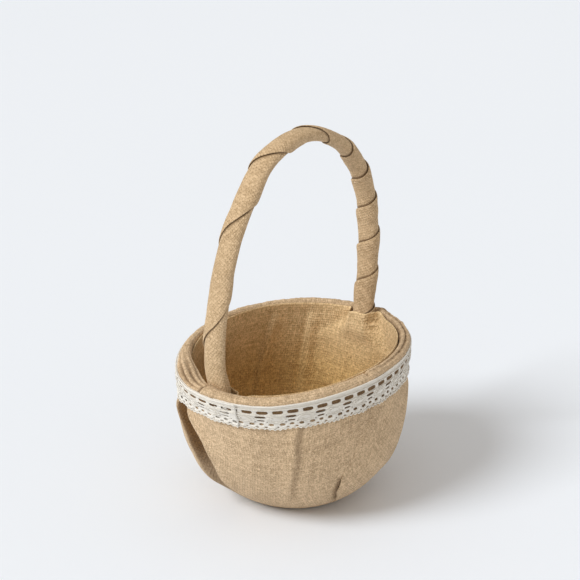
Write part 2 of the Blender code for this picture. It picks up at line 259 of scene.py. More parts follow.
def burlap(name, light, dark, gap_and_shade_colour, pitch=THREAD_PITCH, bottom_shade_tint=None):
    """Plain-weave jute, driven by a UV map in metres: uneven threads that pass over and under.

    The last argument, when given, is a tint of painted shade, multiplied in more and more towards the bottom
    of the bowl.
    """
    g = Graph(name)

    def crooked(length, spacing, slow, fast):
        """Threads counted along one way of the cloth, bent by slow and fast noise."""
        bend = (g.noise(g.place, slow, 2.0) - 0.5) * 0.9
        return length / spacing + (bend + (g.noise(g.place, fast, 1.0) - 0.5) * 0.4)

    def thread(number, across, length, seed):
        """A thread family's rounded profile, fibres and tint. across and length are in threads."""
        own = g.white(g.vector(number, seed, 2.0))
        slub = g.noise(g.vector(number * 5.31, length * 0.3, seed), 1.0, 2.0)
        half = own * 0.10 + slub * 0.34 + 0.215
        offset = g.math("FRACT", across) - 0.5
        profile = 1.0 - g.math("POWER", g.math("ABSOLUTE", offset / half), 2.0)
        fibre = g.noise(g.vector(across * 7.0, length * 0.8, seed), 1.0, 3.0, 0.7)
        return profile, fibre, own * 0.35 + slub * 0.65

    def height_of(profile, wave):
        """How high a thread's face stands, and -1 beside the thread."""
        dome = g.math("SQRT", g.math("MAXIMUM", profile, 0.0))
        return (dome * 0.55 + wave * 0.40 + 1.0) * g.math("GREATER_THAN", profile, 0.0) - 1.0

    u, v = g.cloth_map()
    u = crooked(u, pitch, 90.0, 310.0)
    v = crooked(v, pitch * 1.04, 71.0, 270.0)
    i, j = g.math("FLOOR", u), g.math("FLOOR", v)
    warp, warp_fibre, warp_tint = thread(i, u, v, 1.0)
    weft, weft_fibre, weft_tint = thread(j, v, u, 9.0)
    warp_height = height_of(warp, g.math("COSINE", (v - 0.5 + i) * math.pi))
    weft_height = height_of(weft, g.math("COSINE", (u + 0.5 + j) * math.pi))
    height = g.math("MAXIMUM", warp_height, weft_height)
    warp_share = g.math("GREATER_THAN", warp_height, weft_height)
    weft_share = 1.0 - warp_share
    fibre = warp_share * warp_fibre + weft_share * weft_fibre
    tint = warp_share * warp_tint + weft_share * weft_tint

    crossing = g.white(g.vector(i, j, 5.0))
    patch = g.noise(g.place, 38.0, 3.0)
    grain = g.noise(g.place, 1250.0, 1.0)
    tone = tint * 0.38 + patch * 0.22 + crossing * 0.20 + grain * 0.9 - 0.35 + (fibre - 0.5) * 1.3
    colour = g.mix(g.spread(tone, 0.15, 0.85), dark, light)
    fleck = g.spread(g.noise(g.place, 420.0, 2.0), 0.66, 0.76)
    colour = g.mix(fleck * 0.35, colour, tuple(c * 0.45 for c in dark))
    # painted shade where the threads dip and in the gaps between them, together with the darker layer beneath
    # seen through the gaps
    colour = g.mix(g.spread(height, -0.75, 0.62), gap_and_shade_colour, colour)
    # painted shade: darker and warmer towards the bottom of the bowl
    if bottom_shade_tint:
        level = g.split(g.place)[2]
        colour = g.mix(g.spread(level, 0.098, 0.045), colour, bottom_shade_tint, "MULTIPLY")
    # painted shade: each point's stored value darkens the colour towards a deep brown
    painted_shade = Flow(g, g.add("Attribute", attribute_name="painted_shade").outputs["Fac"])
    colour = g.mix(painted_shade, colour, PAINTED_SHADE_TINT, "MULTIPLY")
    g.surface(colour, g.spread(fibre, 0.2, 0.8, 0.82, 0.97), Specular_IOR_Level=0.18, Sheen_Weight=0.2,
              Sheen_Roughness=0.5, Sheen_Tint=(0.95, 0.80, 0.60, 1.0))
    g.bump(height + fibre * 0.35, 0.00036, 0.9)
    return g.material


def lace_thread():
    """Cream cotton: fine twisted threads, woven solid in the leaves, slightly uneven in colour."""
    g = Graph("cream_cotton_lace")
    bend = g.noise(g.place, 260.0, 2.0) * 2.2
    waves = [g.math("SINE", way * (TAU / pitch) + bend) for way, pitch in zip(g.cloth_map(), LACE_PITCH)]
    fine = g.noise(g.place, 1500.0, 2.0)
    height = g.math("MAXIMUM", *waves) * 0.5 + fine
    # painted shade: the threads' low places darker than their crowns, with a random unevenness in colour on
    # top
    shade = g.spread(height, -0.2, 0.8) * 0.65 + g.noise(g.place, 60.0) * 0.35
    colour = g.mix(shade, (0.71, 0.645, 0.55), (0.99, 0.955, 0.885))
    g.surface(colour, g.spread(fine, 0.2, 0.8, 0.75, 0.95), Specular_IOR_Level=0.25, Sheen_Weight=0.15)
    g.bump(height, 0.00025, 0.9)
    return g.material


def pulp_board():
    g = Graph("moulded_pulp")
    fibres = g.noise(g.place, 900.0, 4.0, 0.7)
    patch = g.noise(g.place, 70.0, 2.0)
    colour = g.mix(g.spread(fibres, 0.3, 0.7), (0.27, 0.22, 0.16), (0.47, 0.40, 0.31))
    colour = g.mix(patch * 0.3, colour, (0.36, 0.30, 0.23))
    g.surface(colour, g.spread(fibres, 0.2, 0.8, 0.82, 0.97))
    g.bump(fibres, 0.0003, 0.6)
    return g.material


def split_cane():
    g = Graph("split_cane")
    x, y, z = g.split(g.place)
    grain = g.noise(g.vector(x * 900.0, y * 900.0, z * 40.0), 1.0, 3.0)
    colour = g.mix(g.spread(grain, 0.3, 0.7), (0.36, 0.22, 0.10), (0.62, 0.44, 0.25))
    g.surface(colour, g.spread(grain, 0.2, 0.8, 0.42, 0.66))
    g.bump(grain, 0.0002, 0.5)
    return g.material


def steel_wire():
    g = Graph("galvanised_wire")
    spots = g.noise(g.place, 700.0, 3.0)
    colour = g.mix(g.spread(spots, 0.35, 0.7), (0.60, 0.60, 0.61), (0.42, 0.42, 0.43))
    g.surface(colour, g.spread(spots, 0.2, 0.8, 0.28, 0.5), Metallic=1.0)
    g.bump(spots, 0.00005, 0.5)
    return g.material


# ---------------------------------------------------------------- mesh helpers


def link_object(name, data):
    made = bpy.data.objects.new(name, data)
    bpy.context.collection.objects.link(made)
    return made


def cloth_object(name, points, faces, corners, finish):
    """A mesh whose UV map 'cloth' gives each corner of each face its place on the flat cloth, in metres."""
    mesh = bpy.data.meshes.new(name)
    mesh.from_pydata(points, [], faces)
    layer = mesh.uv_layers.new(name="cloth")
    places = [spot for face in corners for spot in face]
    for loop, spot in enumerate(places):
        layer.data[loop].uv = spot
    mesh.shade_smooth()
    mesh.materials.append(finish)
    return link_object(name, mesh)


def paint_shade_marks(piece, values):
    """Stores each point's painted shade, 0 none and 1 full: the dark laid on in folds, under the lace and
    along seams.
    """
    layer = piece.data.attributes.new("painted_shade", "FLOAT", "POINT")
    layer.data.foreach_set("value", values)


def grid_cells(rows, columns, closed=False):
    """(row, column, next column) of each face of a grid; a closed one joins its last column to its first."""
    for r in range(rows - 1):
        for c in range(columns if closed else columns - 1):
            yield r, c, (c + 1) % columns


def grid_quad(r, c, d, columns):
    return (r * columns + c, r * columns + d, (r + 1) * columns + d, (r + 1) * columns + c)


def grid_cloth(name, grid, flat, closed, finish):
    """grid[row][column] is a point and flat[row][column] its place on the cloth.

    In a closed grid flat has one column more, for the far side of the join.
    """
    rows, columns = len(grid), len(grid[0])
    points = [point for row in grid for point in row]
    faces, corners = [], []
    for r, c, d in grid_cells(rows, columns, closed):
        faces.append(grid_quad(r, c, d, columns))
        corners.append((flat[r][c], flat[r][c + 1], flat[r + 1][c + 1], flat[r + 1][c]))
    return cloth_object(name, points, faces, corners, finish)


def thicken(piece, thickness, offset):
    modifier = piece.modifiers.new("thickness", "SOLIDIFY")
    modifier.thickness = thickness
    modifier.offset = offset
    modifier.use_even_offset = False


def finish_piece(piece, slot, *nodes):
    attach(piece, "root")
    if nodes:
        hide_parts(*nodes)


# ---------------------------------------------------------------- the outer cover

# Knife pleats. lip is the folded edge's line, (height mm, angle in degrees) from the base up to the lace.
# side is the way the lip faces (+1 towards rising angles), depth scales the relief, and tuck says how far the
# cloth goes under. The pleat forms above low and dies away above high, both mm. span narrows its section,
# soft rounds its edge, and shade scales the painted shade in its valley. The open pleat has a wide valley and
# a crest.
PLEATS = (
    dict(lip=((0, -183), (22, -182.5), (40, -183), (62, -188), (84, -201.5)),
         side=-1, depth=1.0, tuck=1.0, low=9, open=True),
    dict(lip=((0, -144), (19, -143), (41, -141), (58, -138.5), (74, -136), (84, -134)),
         side=1, depth=0.5, tuck=0.0, low=12, soft=0.65, shade=0.42, span=0.8),
    dict(lip=((0, -104), (5, -106), (15, -112), (26, -115.5), (38, -114.5), (46, -111), (60, -105.5),
              (74, -97), (84, -92)),
         side=-1, depth=0.55, tuck=0.45, low=2, high=30, soft=0.15, span=0.8),
    dict(lip=((0, -66), (40, -62), (84, -56)), side=1, depth=0.75, tuck=0.9, low=8),
    dict(lip=((0, -14), (40, -18), (84, -22)), side=-1, depth=0.8, tuck=0.9, low=5),
    dict(lip=((0, 32), (40, 28), (84, 22)), side=1, depth=0.6, tuck=0.7, low=10),
    dict(lip=((0, 78), (40, 82), (84, 88)), side=-1, depth=0.9, tuck=1.0, low=4),
    dict(lip=((0, 122), (40, 124), (84, 129)), side=1, depth=0.5, tuck=0.6, low=12),
)
# A pleat's section: distance from the lip away from its panel, distance gone under, and relief, mm at the rim
PLEAT_SECTION = (
    (-16.0, 0.0, 0.0), (-12.0, 0.0, 0.25), (-9.0, 0.0, 0.65), (-6.5, 0.0, 1.15), (-4.5, 0.0, 1.65),
    (-2.8, 0.0, 2.1), (-1.5, 0.0, 2.4), (-0.6, 0.0, 2.5), (-0.1, 0.0, 2.35), (0.1, 0.0, 2.0),
    (0.2, -0.3, 1.65), (0.3, -1.2, 1.35), (0.4, -2.6, 1.05), (0.5, -4.2, 0.72), (0.6, -5.6, 0.35),
    (0.7, -6.4, -0.05), (0.8, -6.5, -0.35), (0.9, -5.6, -0.7), (1.1, -4.2, -0.85), (1.4, -2.9, -0.9),
    (1.9, -1.6, -0.95), (2.7, -0.5, -0.95), (4.0, 0.0, -0.85), (5.6, 0.0, -0.6), (7.6, 0.0, -0.25),
    (10.0, 0.0, 0.1), (13.0, 0.0, 0.25), (16.0, 0.0, 0.15), (18.0, 0.0, 0.0),
)
SECTION_SIZE = len(PLEAT_SECTION)
# The cloth beyond an open pleat's valley: it stands up to a crest before it lies on the bowl again
OPEN_CREST = ((1.9, 0.0), (4.0, 0.1), (7.6, 0.5), (10.0, 1.6), (13.0, 2.9), (16.0, 3.5), (18.0, 3.3))
# How each panel's cloth is turned, in degrees from threads that run straight up
PANEL_TURN = (-12, 14, 52, -22, 30, -8, 18, -30)
VALLEY_COLUMN = 16
PANEL_COLUMNS = 16
GRAIN_CENTRE = math.radians(-141)
COVER_TOP = BOWL_HEIGHT - 0.0033
COVER_ROWS = 62
COVER_BASE_SHARES = (0.06, 0.2, 0.36, 0.52, 0.68, 0.82, 0.93)


def cover_levels():
    """(arc length from the base's middle, radius, height) of the cover's rows."""
    levels = [(BASE_RADIUS * t, BASE_RADIUS * t, 0.0) for t in COVER_BASE_SHARES]
    arc = BASE_RADIUS
    last = (BASE_RADIUS, 0.0)
    for step in range(COVER_ROWS + 1):
        height = COVER_TOP * (step / COVER_ROWS) ** 1.45
        radius = wall_radius(height)
        arc += math.hypot(radius - last[0], height - last[1])
        levels.append((arc, radius, height))
        last = (radius, height)
    return levels


def section_entry(pleat, index):
    return PLEAT_SECTION[index if pleat["side"] > 0 else SECTION_SIZE - 1 - index]


def lip_angle(pleat, height):
    return math.radians(along([(h * MM, a) for h, a in pleat["lip"]], height))


def pleat_left(pleat, height):
    """1 up to the height at which a pleat starts to die away, and 0 above it."""
    high = pleat.get("high", 200)
    return 1.0 - ramp(height, high * MM, (high + 14) * MM)


def pleat_column(pleat, index, height):
    """Angle and relief of one column of a pleat at a height."""
    spread, under, relief = section_entry(pleat, index)
    left = pleat_left(pleat, height)
    fold = pleat["tuck"] * ramp(height, pleat["low"] * MM, (pleat["low"] + 22) * MM) * left
    depth = pleat["depth"] * ramp(height, pleat["low"] * MM, (pleat["low"] + 20) * MM)
    depth *= 0.16 + 0.84 * left
    spread = spread * pleat.get("span", 1.0) + pleat.get("soft", 0.0) * (0.8 - relief)
    if pleat.get("open") and spread > 0.0:
        relief += (along(OPEN_CREST, spread) - 0.1) * 1.15
    if relief > 0.0:
        # the lace holds it down
        depth *= 1.0 - 0.8 * ramp(height, 0.077, 0.085)
    crooked = wander(height * 75.0, pleat["lip"][0][1], 0.5) * ramp(height, 0.0, 0.02)
    lip = lip_angle(pleat, height) + math.radians(0.8) * crooked
    offset = (spread + under * fold) * MM / RIM_RADIUS * pleat["side"]
    return lip + offset, relief * depth * MM


def pleat_shade(pleat, index, height):
    """Painted shade down in a pleat's valley: how much the cloth's colour is darkened there."""
    spread = section_entry(pleat, index)[0]
    if pleat.get("open"):
        shade = ramp(spread, 0.0, 0.4) * (1.0 - ramp(spread, 12.0, 17.5))
        return shade * (0.68 * ramp(height, 0.006, 0.020) + 0.5 * ramp(height, 0.030, 0.058))
    shade = 0.7 * pleat.get("shade", 1.0) * ramp(spread, 0.2, 0.4) * (1.0 - ramp(spread, 1.4, 5.6))
    depth = pleat["depth"] * (0.05 + 0.95 * pleat_left(pleat, height))
    depth *= ramp(height, pleat["low"] * MM, (pleat["low"] + 20) * MM)
    return shade * ramp(height, 0.008, 0.02) * min(depth * 2.2, 1.0)


def cover_columns():
    """Each column's (pleat number, index in its section, share of the way to the next), and its panel."""
    columns, panels = [], []
    for number, pleat in enumerate(PLEATS):
        valley = VALLEY_COLUMN if pleat["side"] > 0 else SECTION_SIZE - 1 - VALLEY_COLUMN
        for index in range(SECTION_SIZE):
            columns.append((number, index, None))
            panels.append(number - 1 if index < valley else number)
        for step in range(1, PANEL_COLUMNS):
            columns.append((number, SECTION_SIZE - 1, step / PANEL_COLUMNS))
            panels.append(number)
    return columns, panels


def cover_point(radius, height, angle, relief):
    """A point of the cover: its pleat's relief, with lumps and drags that stop under the lace."""
    base = place(radius, height, angle)
    free = ramp(height, 0.001, 0.012)
    lump = 0.42 * rough(base, 0.021, 1) + 0.22 * rough(base, 0.009, 2)
    drag = 0.30 * rough(Vector((angle * 3.2, height * 9.0, 0.0)), 1.0, 5) * ramp(height, 0.02, 0.05)
    hold = 1.0 - 0.75 * ramp(height, 0.078, 0.084)
    out = relief + (lump + drag + 0.15) * MM * free * hold
    rise = (1.0 - free) * 0.1 * MM * (1.0 + rough(base, 0.007, 3))
    return place(radius + out, height, angle) + Vector((0.0, 0.0, rise))


def make_cover(finish):
    """One piece of cloth pulled up round the bowl, its fullness laid in pleats."""
    levels = cover_levels()
    columns, panels = cover_columns()
    lips = [[lip_angle(pleat, height) for pleat in PLEATS] for _, _, height in levels]
    points, angles, shades = [], [], []
    for _, radius, height in levels:
        angle_row = []
        for number, index, share in columns:
            angle, relief = pleat_column(PLEATS[number], index, height)
            shade = 0.0
            if share is None:
                shade = pleat_shade(PLEATS[number], index, height)
            else:
                following = (number + 1) % len(PLEATS)
                ahead, lifted = pleat_column(PLEATS[following], 0, height)
                ahead += TAU if following == 0 else 0.0
                angle = angle + (ahead - angle) * share
                relief = relief * (1.0 - smooth(share * 2.2)) + lifted * smooth(share * 2.2 - 1.2)
            points.append(cover_point(radius, height, angle, relief))
            angle_row.append(angle)
            # painted shade: in the pleats' valleys, and under the lace as the shadow seen through its holes
            painted_lace_shadow = ramp(height - RIM_DIP * math.cos(angle) ** 2, 0.0835, 0.0865) * 0.85
            shades.append(max(shade * 0.85, painted_lace_shadow))
        angles.append(angle_row)
    rows, width = len(levels), len(columns)
    points.append(place(0.0, 0.0, 0.0) + Vector((0, 0, 0.1 * MM)))
    shades.append(0.0)

    def on_cloth(r, c, panel):
        """The flat cloth's place under a grid corner, seen from one panel."""
        arc = levels[r][0]
        angle = angles[r][c % width] + (TAU if c >= width else 0.0)
        count = len(PLEATS)
        first = lips[r][panel % count] - (TAU if panel < 0 else 0.0)
        second = lips[r][(panel + 1) % count] + (TAU if panel + 1 >= count else 0.0)
        middle = (first + second) / 2.0
        own = math.radians(PANEL_TURN[panel % count]) + (angle - middle) * levels[r][1] / arc
        natural = angle - GRAIN_CENTRE
        turn = natural + turned(own - natural) * ramp(arc, 0.036, 0.062)
        return (arc * math.sin(turn), arc * math.cos(turn))

    faces, corners = [], []
    for r, c, d in grid_cells(rows, width, True):
        faces.append((r * width + d, r * width + c, (r + 1) * width + c, (r + 1) * width + d))
        spots = ((r, c + 1), (r, c), (r + 1, c), (r + 1, c + 1))
        corners.append(tuple(on_cloth(*spot, panels[c]) for spot in spots))
    for c in range(width):
        faces.append((len(points) - 1, c, (c + 1) % width))
        corners.append(((0.0, 0.0), on_cloth(0, c, panels[c]), on_cloth(0, c + 1, panels[c])))
    piece = cloth_object("cover_cloth", points, faces, corners, finish)
    paint_shade_marks(piece, shades)
    finish_piece(piece, "burlap", "outer_cover")
    return piece


# ---------------------------------------------------------------- the rim binding

BINDING_START = math.radians(-184.5)
BINDING_LAP = math.radians(9.0)
BINDING_COLUMNS = 620
BINDING_INSETS = (-1.5 * MM, 6.0 * MM)
NOTCH_ANGLE = math.radians(-95.5)


def left_rise(angle):
    """The rim stands a little higher beside the left foot than on the other side, in metres."""
    return 2.0 * MM * near(angle, -178, 36)


def binding_profile(reach, centre_height):
    """(outwards from the middle, height) up the outside, over the rim and down the inside."""
    outer_foot, inner_foot = BOWL_HEIGHT - 0.013, BOWL_HEIGHT - 0.009
    profile = [(reach, outer_foot + (centre_height - outer_foot) * step / 9.0) for step in range(9)]
    for step in range(37):
        turn = math.pi * step / 36.0
        profile.append((reach * math.cos(turn), centre_height + reach * math.sin(turn)))
    for step in range(1, 7):
        profile.append((-reach, centre_height + (inner_foot - centre_height) * step / 6.0))
    return profile


def make_binding(finish):
    """A strip folded over the rim wire, closed by a lap beside the left foot of the handle."""
    outer_inset, inner_inset = BINDING_INSETS
    reach = (inner_inset - outer_inset) / 2.0
    centre_inset = (outer_inset + inner_inset) / 2.0
    centre_height = BOWL_HEIGHT - reach
    profile = binding_profile(reach, centre_height)
    ways = [0.0]
    for first, second in zip(profile, profile[1:]):
        ways.append(ways[-1] + math.dist(first, second))
    middle = ways[-1] / 2.0
    total = TAU + BINDING_LAP
    grid, flat, shades = [], [], []
    for (out, height), way in zip(profile, ways):
        row, flat_row = [], []
        across = (way - middle) / middle  # -1 outside foot, 1 inside foot
        crest = bump_at(across, 0.75)
        lean = out / reach
        lift = max(height - centre_height, 0.0) / reach
        # painted shade along the inner edge, where the band meets the lining
        painted_inner_edge_shade = ramp(across, 0.60, 0.85)
        # painted shadow on the outer face under the lace
        painted_shadow_under_lace = ramp(height, BOWL_HEIGHT - 0.0045, BOWL_HEIGHT - 0.0065) if out > 0.0 else 0.0
        for c in range(BINDING_COLUMNS + 1):
            way_round = total * c / BINDING_COLUMNS
            # the visible end is cut aslant
            slant_in = math.radians(5.0) * across
            angle = BINDING_START + way_round + slant_in * ramp(way_round, math.radians(18), 0.0)
            # painted shade beside the edge of the visible end
            lap = bump_at(way_round - TAU + math.radians(1.0) - slant_in, math.radians(2.2)) * crest
            a = turned(angle)
            past_notch = turned(a - NOTCH_ANGLE)
            rib = 0.42 * wander(angle * 16.0, way * 30.0, 4.0)
            rib += 0.34 * wander(angle * 41.0, way * 70.0, 8.0)
            lump = noise.noise(Vector((math.cos(a) * 2.0, math.sin(a) * 2.0, way * 12.0)) * 2.1)
            push = rib * crest + 0.45 * lump * crest
            # the strip's visible end lies on top of its start
            on_top = 1.0 - ramp(way_round, 0.0, math.radians(11.0))
            push += 1.05 * on_top * ramp(across, -0.45, -0.05)
            # long folds where the strip crowds in behind the left foot
            crowd = near(a, 157, 34) * (1.0 - on_top)
            folds = math.cos(across * math.pi * 10.0 + 1.3 * math.sin(angle * 7.0))
            push += crowd * crest * 0.85 * folds
            inward = 5.2 * near(a, 152, 33) * ramp(across, -0.3, 0.4)
            # a groove round the right side, with a swelling outside it
            ring = near(a, -42, 88) * (0.22 + 0.78 * ramp(past_notch, -0.02, 0.03))
            push -= ring * 1.25 * bump_at(across - 0.06, 0.16) - ring * 0.35 * bump_at(across + 0.35, 0.3)
            # a pinch across the inner half of the band, and the cloth raised to the right of it
            pinch = bump_at(past_notch, math.radians(1.3)) * ramp(across, -0.25, 0.2)
            push -= 2.2 * pinch * crest
            push += 0.55 * crest * ramp(past_notch, 0.0, 0.02) * (1.0 - ramp(past_notch, 0.03, 0.22))
            if push > 0.0:
                # it lies flat under the lace
                push *= ramp(across, -0.55, -0.20)
            wave = 0.45 * round_noise(a, 1.7, 2.0)
            # the cloth stands up like a collar beside the right foot
            collar = 2.6 * near(a, -7.5, 10) * crest
            # painted shade in the valleys of the crowded folds
            valley = 0.75 * crowd * crest * ramp(folds, 0.0, -0.8)
            # the groove and the seam with the lining get broken dark lines of painted shade
            broken = 0.80 + 0.75 * wander(angle * 21.0, 1.0, 4.0)
            painted_groove_shade = ring * broken * bump_at(across - 0.06, 0.12)
            seam = 0.8 * ring * broken * bump_at(across - 0.46, 0.17)
            # all of these are painted shade multiplied into the cloth's colour, the pinch's notch among them
            shades.append(max(0.85 * painted_shadow_under_lace, 0.8 * painted_inner_edge_shade, 0.9 * pinch * crest, valley, painted_groove_shade, seam,
                              0.9 * lap))
            radius = wall_radius(height) - centre_inset + out + push * lean * MM * (1.0 if out > 0 else 0.6)
            top = height + (push * lift + (wave + collar) * lift) * MM + left_rise(angle)
            row.append(place(radius - inward * MM, top, angle))
            flat_row.append((angle * RIM_RADIUS + 0.10 * (way - middle), way))
        grid.append(row)
        flat.append(flat_row)
    piece = grid_cloth("rim_binding_cloth", grid, flat, False, finish)
    paint_shade_marks(piece, shades)
    thicken(piece, 0.0008, -1.0)
    finish_piece(piece, "burlap", "rim_binding")
    return piece


# ---------------------------------------------------------------- the lining

# The wall's soft creases: (angle in degrees, depth)
LINING_CREASES = ((-150, 0.9), (-118, 0.6), (-86, 0.8), (-48, 0.7), (34, 0.8), (61, 1.0), (84, 0.7),
                  (121, 0.9), (152, 0.7))
LINING_FOOT = 0.0071
LINING_TOP = 0.1042
LINING_ROWS = 56
LINING_COLUMNS = 360
# The folded edge: (rise, way out) from the top row, mm
LINING_LIP = ((0.35, 0.08), (0.62, 0.32), (0.70, 0.62), (0.60, 0.92), (0.25, 1.12), (-0.4, 1.15),
              (-1.6, 1.1), (-3.2, 1.05), (-5.2, 1.0))
MEASURED_COLUMN = 45  # its rows' distances stand for the whole wall's
FLOOR_COLUMNS = 96
FLOOR_TOP = 7.0  # mm above the ground
FLOOR_SHARES = (0.04, 0.14, 0.26, 0.38, 0.5, 0.62, 0.74, 0.84, 0.92, 0.965)
# The floor's edge, turned under: (radius, height), mm
FLOOR_EDGE = ((37.6, 6.92), (38.1, 6.7), (38.2, 6.35), (37.9, 6.05), (36.9, 5.95), (34.5, 5.92), (31.0, 5.9))


def sleeve_share(angle, aside, height):
    """How much of the way out over a leg the lining is: 1 on the leg, 0 well beside it."""
    near_rim = ramp(height, 0.080, 0.101)
    low = 0.038 if math.cos(angle) > 0.0 else 0.024
    return ramp(aside, low + (0.0138 - low) * near_rim, 0.0084)


def lining_inset(height, share):
    """The lining's outer face, mm inside the cover's."""
    clear = 4.2 + 2.15 * ramp(height, 0.060, 0.096)
    over_leg = max(along(SLEEVE_ROUTE, height / MM), clear)
    return clear + (over_leg - clear) * share


def lining_angle(column):
    """The lining's columns stand closer together at the handle's legs."""
    even = TAU * column / LINING_COLUMNS
    return even - 0.22 * math.sin(2.0 * even) - math.pi


def lining_crease(angle, height):
    """How far the creases push the wall inwards, mm."""
    deep = 0.0
    for degrees, depth in LINING_CREASES:
        lean = math.radians(4.0) * math.sin(degrees) * (height - 0.05) / 0.05
        size = turned(angle - math.radians(degrees) - lean) * wall_radius(height) / MM
        if abs(size) < 16.0:
            ridge = bump_at(size + 2.6, 7.5) - 0.8 * bump_at(size - 1.6, 4.0)
            deep += 1.5 * depth * ridge
    return deep


def lining_point(height, out, angle):
    """A point of the wall; out is how far the folded edge has come back outwards, mm."""
    level = min(height, LINING_TOP)
    over = sleeve_share(angle, abs(wall_point(level, 0.0, angle).y), level)
    slant = (wall_radius(level + 0.5 * MM) - wall_radius(level - 0.5 * MM)) / MM
    inset = lining_inset(level, over) * math.hypot(1.0, slant) + 1.2 - out
    base = wall_point(level, inset * MM, angle)
    on_leg = over * ramp(level, 0.04, 0.05)
    fade = ramp(level, 0.106, 0.098) * (1.0 - 0.8 * on_leg)
    push = lining_crease(angle, level) * ramp(level, 0.105, 0.085) * (1.0 - on_leg)
    push += fade * (0.55 * rough(base, 0.018, 11) + 0.25 * rough(base, 0.008, 12))
    rim = ramp(level, 0.085, 0.104)
    wave = rim * 0.5 * round_noise(angle, 3.0, 7.0)
    # it stands higher behind the right foot
    wave += rim * 3.0 * near(angle, 0, 17)
    wave += rim * 2.6 * near(angle, -11, 9)
    # it sinks round the left foot
    wave -= rim * 6.0 * near(angle, -171, 15)
    wave -= rim * 6.5 * near(angle, 149, 42)
    wave += rim * left_rise(angle) / MM
    inset += max(push, -0.7) + rim * 0.15
    return place(wall_radius(level) - inset * MM, height + wave * MM, angle)


def make_lining(finish):
    """The inside wall: tucked in soft creases, over the handle's legs, with its top edge folded outwards."""
    rows = [(LINING_FOOT + (LINING_TOP - LINING_FOOT) * (i / LINING_ROWS) ** 0.86, 0.0)
            for i in range(LINING_ROWS + 1)]
    rows += [(rows[-1][0] + rise * MM, out) for rise, out in LINING_LIP]
    points, shades = [], []
    for height, out in rows:
        level = min(height, LINING_TOP)
        for c in range(LINING_COLUMNS):
            angle = lining_angle(c)
            points.append(lining_point(height, out, angle))
            # painted shade: dark down in the hollow round the left foot, and across the left of the interior
            # where the rim shades it
            painted_hollow_shade = 0.95 * near(angle, 149, 46) * ramp(level, 0.055, 0.085)
            shade = 0.62 * near(angle, 132, 62) * ramp(level, 0.100, 0.080)
            shades.append(max(painted_hollow_shade, shade))
    ways = [0.0]
    column = points[MEASURED_COLUMN::LINING_COLUMNS]
    for first, second in zip(column, column[1:]):
        ways.append(ways[-1] + (second - first).length)
    creases = sorted(math.radians(degrees) for degrees, _ in LINING_CREASES)

    def on_cloth(angle, row, middle):
        """The flat cloth's place, measured from the middle of the panel between two creases."""
        height = max(min(rows[row][0], LINING_TOP), 0.02)
        return ((angle - middle) * wall_radius(height) + middle * RIM_RADIUS, ways[row])

    faces, corners = [], []
    for r, c, d in grid_cells(len(rows), LINING_COLUMNS, True):
        faces.append(grid_quad(r, c, d, LINING_COLUMNS))
        a, b = lining_angle(c), lining_angle(c + 1)
        half = (a + b) / 2.0
        start = max([k for k in creases if k <= half], default=creases[-1] - TAU)
        end = min([k for k in creases if k > half], default=creases[0] + TAU)
        middle = (start + end) / 2.0
        corners.append(tuple(on_cloth(*spot, middle) for spot in ((a, r), (b, r), (b, r + 1), (a, r + 1))))
    piece = cloth_object("lining_cloth", points, faces, corners, finish)
    paint_shade_marks(piece, shades)
    finish_piece(piece, "lining_burlap", "lining_wall")
    return piece


def make_lining_floor(finish):
    """The disc on the inside floor, a little crowned and rumpled, with its edge turned under."""
    profile = [(38.0 * t, FLOOR_TOP) for t in FLOOR_SHARES] + list(FLOOR_EDGE)
    grid, flat = [], []
    way = 0.0
    last = (0.0, FLOOR_TOP)
    for radius, height in profile:
        way += math.dist((radius, height), last)
        last = (radius, height)
        row, flat_row = [], []
        for c in range(FLOOR_COLUMNS + 1):
            angle = TAU * (c % FLOOR_COLUMNS) / FLOOR_COLUMNS
            base = place(radius * MM, height * MM, angle)
            upper = 1.0 if height > 6.5 else 0.0
            lump = 0.25 * (1.0 + rough(base, 0.013, 21)) * upper * bump_at(radius, 40.0)
            row.append(place(radius * MM, (height + lump) * MM, angle))
            flat_row.append((way * MM * math.cos(angle), way * MM * math.sin(angle)))
        grid.append(row[:FLOOR_COLUMNS])
        flat.append(flat_row)
    piece = grid_cloth("lining_floor", grid, flat, True, finish)
    finish_piece(piece, "lining_burlap", "lining_base")
    return piece


# ---------------------------------------------------------------- the lace

LACE_WIDTH = 18.5  # mm
LACE_REPEAT = 19.65
LACE_REPEATS = 26
LACE_LENGTH = LACE_REPEAT * LACE_REPEATS
LACE_TOP = 101.8  # mm above the base
LACE_START = math.radians(-176.5)
LACE_STATIONS = 720
# One repeat: (middle x, middle y, width, height) of each opening, mm; y runs down from the heading
LACE_HOLES = (
    (3.1, 5.1, 7.3, 2.7), (13.05, 5.1, 7.3, 2.7),
    (11.35, 8.7, 6.9, 2.0), (11.35, 11.75, 4.8, 1.35),
    (5.2, 14.7, 3.5, 1.9), (11.35, 14.5, 2.9, 1.6), (17.6, 14.7, 3.3, 1.9),
    (8.5, 16.75, 2.1, 1.1), (14.2, 16.75, 2.1, 1.1), (2.2, 16.6, 1.5, 0.9),
    (7.6, 12.9, 1.2, 0.8), (15.2, 12.9, 1.2, 0.8),
)
LACE_SIDE_ROWS = (0.0, 0.9, 2.2, 3.5, 5.0, 6.6, 8.2, 9.8, 11.4, 13.0, 14.6, 16.0)
LEAF_X = 1.5
# Straight cords: (depth, swing, wave length, lift, radius, shift in waves), mm
LACE_CORDS = (
    (0.25, 0.05, 2.0, 0.55, 0.42, 0.0),
    (3.1, 0.18, 1.8, 0.62, 0.30, 0.0), (3.1, 0.18, 1.8, 0.62, 0.30, 0.5),
    (7.0, 0.15, 1.8, 0.62, 0.26, 0.0), (7.0, 0.15, 1.8, 0.62, 0.26, 0.5),
)
CORD_SIDES = 5


